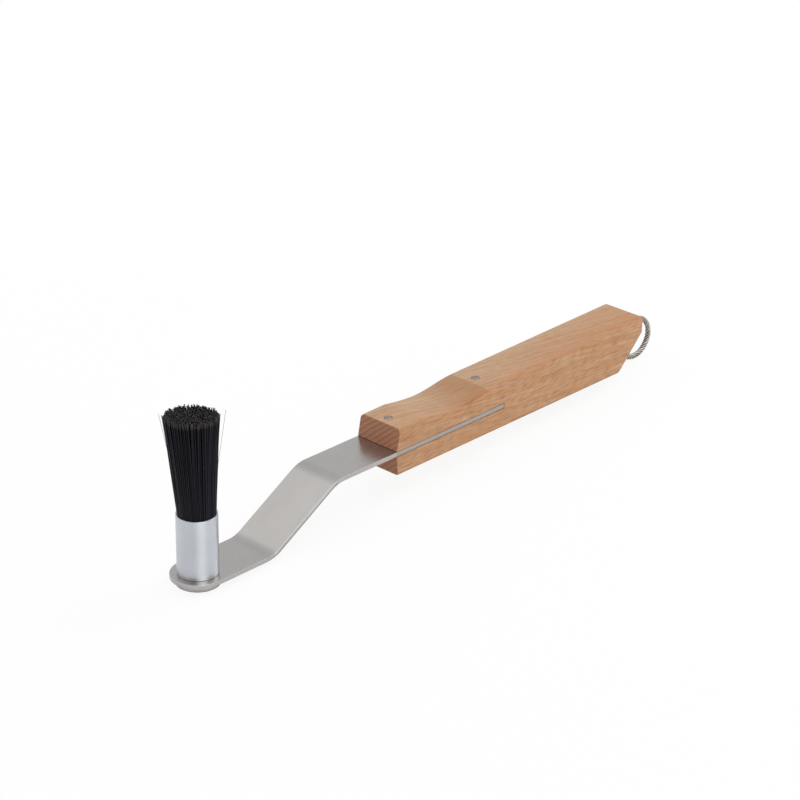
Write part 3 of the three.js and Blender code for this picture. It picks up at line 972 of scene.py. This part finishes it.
def strand_points(share, turn, chance, flare=0, extra=0):
    """Middle line of one strand, straight inside the ferrule and flaring above it."""
    outward = Vector((math.cos(turn), math.sin(turn), 0))
    axis = Vector((HEAD_X, 0, 0))
    foot = axis + outward * share * TUFT_RIM_RADIUS
    rise_above = CLUMP_RISE * clump(foot) + TIP_RAGGEDNESS * chance.gauss(0, 1)
    fall = TUFT_TOP_SLOPE * share * TUFT_TOP_RADIUS * outward.dot(TUFT_TOP_FALLS_TOWARD)
    tip = TUFT_TOP - fall + extra + max(-TIP_RISE_LIMIT, min(TIP_RISE_LIMIT, rise_above))
    side = chance.uniform(0, 2 * math.pi)
    bow = Vector((math.cos(side), math.sin(side), 0)) * STRAND_BOW * chance.random()
    pull = Vector((clump(foot.yxz), clump(-foot), 0)) * CLUMP_PULL
    drift = pull + Vector((chance.gauss(0, 1), chance.gauss(0, 1), 0)) * STRAND_DRIFT
    points = [foot + Vector((0, 0, TUFT_LOW.z))]
    for step in range(STRAND_STEPS + 1):
        rise = step / STRAND_STEPS
        height = FERRULE_HIGH.z + (tip - FERRULE_HIGH.z) * rise
        spread = share * (TUFT_RIM_RADIUS + (TUFT_TOP_RADIUS - TUFT_RIM_RADIUS) * rise)
        spread += flare * max(0, rise - STRAY_LEAVES_AT) / (1 - STRAY_LEAVES_AT)
        bend = bow * math.sin(math.pi * rise) + (TUFT_LEAN + drift * rise) * rise
        points.append(axis + outward * spread + bend + Vector((0, 0, height)))
    return points


def strand_tone(foot, chance):
    """How light a strand is, from 0 to 1: alike for neighbours, with some chance."""
    alike = 0.5 + 0.5 * clump(foot * TONE_CLUMPING + TONE_SHIFT)
    return max(0, min(1, alike + TONE_CHANCE * chance.uniform(-1, 1)))


def add_strand(bm, points, radius, chance):
    start = chance.uniform(0, math.pi)
    made = add_rings(bm, [circle(p, radius, STRAND_SIDES, start) for p in points], capped=True)
    tone = strand_tone(points[0], chance)
    layer = bm.verts.layers.float["tone"]
    for ring in made:
        for vertex in ring:
            vertex[layer] = tone


def make_bristles(material):
    chance = random.Random(SEED)
    bm = bmesh.new()
    bm.verts.layers.float.new("tone")
    for i in range(STRAND_COUNT):
        share = math.sqrt((i + 0.5) / STRAND_COUNT)
        add_strand(bm, strand_points(share, i * GOLDEN_ANGLE, chance), STRAND_RADIUS, chance)
    for i in range(RIM_STRAND_COUNT):
        turn = 2 * math.pi * (i + RIM_STRAND_JITTER * chance.random()) / RIM_STRAND_COUNT
        add_strand(bm, strand_points(1, turn, chance), STRAND_RADIUS, chance)
    for turn, flare, rise in zip(STRAY_TURNS, STRAY_FLARES, STRAY_RISES):
        add_strand(bm, strand_points(1, turn, chance, flare * MM, rise * MM), STRAY_RADIUS, chance)
    piece = mesh_object("bristles", bm)
    shade_smooth(piece, STRAND_SHARP_ANGLE)
    finish_piece(piece, "bristle_tuft", material)


def rope_line():
    """Middle line of the rope: a Catmull-Rom curve through the route's points, as Bezier pieces."""
    knots = [BORE_MOUTH + Vector((x, 0, z)) * MM for x, z in ROPE_ROUTE]
    slopes = [(knots[min(i + 1, len(knots) - 1)] - knots[max(i - 1, 0)]) / 6 for i in range(len(knots))]
    line = [knots[0]]
    for i in range(len(knots) - 1):
        first, second = knots[i], knots[i + 1]
        steps = max(2, round((second - first).length / ROPE_STEP))
        curve = interpolate_bezier(first, first + slopes[i], second - slopes[i + 1], second, steps + 1)
        line += curve[1:]
    return line


def rope_section(centre, along, travelled, strand):
    """Section of one strand: round, with its wires standing out a little."""
    across = Vector((0, 1, 0))
    third = along.cross(across)
    lay_turn = 2 * math.pi * (travelled / ROPE_LAY + strand / ROPE_STRANDS)
    middle = centre + (across * math.cos(lay_turn) + third * math.sin(lay_turn)) * ROPE_STRAND_OFFSET
    points = []
    for i in range(ROPE_SECTION_POINTS):
        turn = 2 * math.pi * i / ROPE_SECTION_POINTS
        wire_turn = STRAND_WIRES * (turn + 2 * math.pi * travelled / WIRE_LAY)
        radius = ROPE_STRAND_RADIUS * (1 - WIRE_RELIEF + WIRE_RELIEF * math.cos(wire_turn))
        points.append(middle + (across * math.cos(turn) + third * math.sin(turn)) * radius)
    return points


def make_loop(material):
    line = rope_line()
    steps = [0.0] + [(b - a).length for a, b in zip(line, line[1:])]
    travelled = [sum(steps[: i + 1]) for i in range(len(steps))]
    aheads = [(line[min(i + 1, len(line) - 1)] - line[max(i - 1, 0)]).normalized() for i in range(len(line))]
    bm = bmesh.new()
    crown = bm.verts.layers.float.new("crown")
    for strand in range(ROPE_STRANDS):
        rings = [rope_section(*place, strand) for place in zip(line, aheads, travelled)]
        for ring, centre in zip(add_rings(bm, rings, capped=True), line):
            for vertex in ring:
                vertex[crown] = (vertex.co - centre).length / (ROPE_DIAMETER / 2)
    piece = mesh_object("wire_loop", bm)
    shade_smooth(piece, STRAND_SHARP_ANGLE)
    finish_piece(piece, "hanging_loop", material)
    return min(line, key=lambda point: point.z)


def make_sleeve(material):
    radius = (SLEEVE_HIGH.y - SLEEVE_LOW.y) / 2
    length = SLEEVE_HIGH.x - SLEEVE_LOW.x
    lower = rounded_edge(radius, 0, SLEEVE_EDGE_EASE, 1)
    upper = rounded_edge(radius, length, SLEEVE_EDGE_EASE, -1)
    piece = turned("rope_sleeve", [(0, 0)] + lower + upper[::-1] + [(0, length)], 0)
    start = Vector((SLEEVE_LOW.x, 0, BORE_MOUTH.z))
    piece.data.transform(Matrix.Translation(start) @ Matrix.Rotation(math.pi / 2, 4, "Y"))
    holes = []
    for offset in (ROPE_OFFSET, -ROPE_OFFSET):
        first = Vector((SLEEVE_LOW.x - CUT_MARGIN, 0, BORE_MOUTH.z + offset))
        second = Vector((SLEEVE_HIGH.x + CUT_MARGIN, 0, BORE_MOUTH.z + offset))
        holes.append(rod(first, second, ROPE_DIAMETER / 2 + ROPE_CLEARANCE))
    cut(piece, holes)
    shade_smooth(piece)
    finish_piece(piece, "loop_sleeve", material)


def repaint(node, material):
    """Gives a node that isn't rebuilt here its material."""
    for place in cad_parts[node].material_slots:
        place.material = material


# Studio

def make_camera():
    azimuth, elevation = CAMERA_AZIMUTH, CAMERA_ELEVATION
    back = Vector((
        math.sin(azimuth) * math.cos(elevation),
        -math.cos(azimuth) * math.cos(elevation),
        math.sin(elevation),
    ))
    level = Vector((math.cos(azimuth), math.sin(azimuth), 0))
    up = back.cross(level)
    right = level * math.cos(CAMERA_ROLL) + up * math.sin(CAMERA_ROLL)
    top = up * math.cos(CAMERA_ROLL) - level * math.sin(CAMERA_ROLL)
    data = bpy.data.cameras.new("camera")
    data.lens = CAMERA_LENS
    data.sensor_width = CAMERA_SENSOR
    camera = bpy.data.objects.new("camera", data)
    turn = Matrix((right, top, back)).transposed().to_4x4()
    camera.matrix_world = Matrix.Translation(CAMERA_TARGET + back * CAMERA_DISTANCE) @ turn
    bpy.context.scene.collection.objects.link(camera)
    bpy.context.scene.camera = camera


def seen_in_metal(tree):
    """1 for rays that come by way of a reflection, or through a surface, else 0."""
    path = add(tree, "LightPath", {})
    return math_node(tree, "MAXIMUM", path.outputs["Is Glossy Ray"], path.outputs["Is Transmission Ray"])


def seen_by_camera(tree):
    return add(tree, "LightPath", {}).outputs["Is Camera Ray"]


def studio_light(tree):
    """Brightness of the studio by direction: white at the floor, grey wall, darker band, ceiling, areas."""
    direction = add(tree, "TexCoord", {}).outputs["Generated"]
    height = add(tree, "SeparateXYZ", {0: direction}).outputs["Z"]
    light = remap(tree, height, 0.0, WALL_HEIGHT, 1.0, WALL_LIGHT)
    band = remap(tree, height, WALL_HEIGHT, BAND_LOW, 0.0, BAND_LIGHT - WALL_LIGHT)
    light = math_node(tree, "ADD", light, band)
    ceiling = remap(tree, height, BAND_HIGH, CEILING_HEIGHT, 0.0, CEILING_LIGHT - BAND_LIGHT)
    light = math_node(tree, "ADD", light, ceiling)
    for toward, begins, full, added in STUDIO_AREAS:
        inputs = {0: direction, 1: toward.normalized()}
        closeness = add(tree, "VectorMath", inputs, operation="DOT_PRODUCT").outputs["Value"]
        light = math_node(tree, "ADD", light, remap(tree, closeness, begins, full, 0.0, added))
    return light


def light_world():
    """White to the camera, a studio to metal, and even soft light to everything else."""
    world = bpy.data.worlds.new("studio")
    world.use_nodes = True
    tree = world.node_tree
    strength = blend(tree, seen_in_metal(tree), SOFT_LIGHT, studio_light(tree))
    strength = blend(tree, seen_by_camera(tree), strength, 1.0)
    background = tree.nodes["Background"]
    background.inputs["Color"].default_value = (1, 1, 1, 1)
    feed(tree, background.inputs["Strength"], strength)
    bpy.context.scene.world = world


def add_lamp(name, place, target, size, power):
    data = bpy.data.lights.new(name, "AREA")
    data.size = size
    data.energy = power
    lamp = bpy.data.objects.new(name, data)
    lamp.location = place
    lamp.rotation_euler = (place - target).to_track_quat("Z", "Y").to_euler()
    bpy.context.scene.collection.objects.link(lamp)


def floor_material():
    """White floor that keeps a soft shadow near the object and turns plain white further out."""
    material, tree, shader = new_material("floor")
    shader.inputs["Base Color"].default_value = (1, 1, 1, 1)
    shader.inputs["Roughness"].default_value = 0.9
    shader.inputs["Specular IOR Level"].default_value = 0.0
    plain = add(tree, "Emission", {"Color": (1, 1, 1, 1), "Strength": 1.0})
    coords = add(tree, "TexCoord", {}).outputs["Object"]
    distance = add(tree, "VectorMath", {0: coords}, operation="LENGTH").outputs["Value"]
    far = remap(tree, distance, FLOOR_RADIUS / 2, FLOOR_RADIUS)
    to_camera = math_node(tree, "MULTIPLY", seen_by_camera(tree), blend(tree, far, 1 - SHADOW_DEPTH, 1.0))
    in_metal = blend(tree, far, 1 - SHADOW_DEPTH_IN_METAL, 1.0)
    share = math_node(tree, "MULTIPLY_ADD", seen_in_metal(tree), in_metal, to_camera)
    mixed = add(tree, "MixShader", {0: share, 1: shader.outputs[0], 2: plain.outputs[0]})
    tree.links.new(mixed.outputs[0], tree.nodes["Material Output"].inputs["Surface"])
    return material


def make_floor(loop_lowest):
    """The tool stands on the rear rim of the screw head and on the loop, so the floor lies under these."""
    rim = Vector((HEAD_X + SCREW_HEAD_RADIUS - SCREW_HEAD_EDGE_RADIUS, 0, SCREW_LOW.z))
    loop_under = loop_lowest - Vector((0, 0, ROPE_DIAMETER / 2))
    slope = math.atan2(loop_under.z - rim.z, loop_under.x - rim.x)
    bm = bmesh.new()
    bm.faces.new([bm.verts.new(p) for p in circle(Vector(), FLOOR_RADIUS, FLOOR_SIDES)])
    floor = mesh_object("floor", bm)
    middle = (rim + loop_under) / 2
    floor.matrix_world = Matrix.Translation(middle) @ Matrix.Rotation(-slope, 4, "Y")
    floor.data.materials.append(floor_material())


make_camera()
loop_lowest_point = make_loop(wire_rope())
satin_aluminium = brushed_metal("satin_aluminium", *SATIN_ALUMINIUM)
spread_upright(satin_aluminium)
paint_foot_reflection(satin_aluminium)
plated_steel = brushed_metal("plated_steel", *PLATED_STEEL)
pin_metal = brushed_metal("pin_metal", *PIN_METAL)
stainless_strip = brushed_metal("stainless_strip", *STAINLESS_STRIP)
paint_edge_light(stainless_strip)
make_handle(beech())
make_strip(stainless_strip)
make_pin("front_handle_pin", pin_metal)
make_pin("rear_handle_pin", pin_metal)
make_ferrule(satin_aluminium)
make_screw(plated_steel)
make_sleeve(satin_aluminium)
make_bristles(black_nylon())
repaint("ferrule_nut", plated_steel)
repaint("resin_plug", cast_resin())

light_world()
add_lamp("key", KEY_LAMP_PLACE, KEY_LAMP_TARGET, KEY_LAMP_SIZE, KEY_LAMP_POWER)
make_floor(loop_lowest_point)
bpy.context.scene.view_settings.view_transform = "Standard"
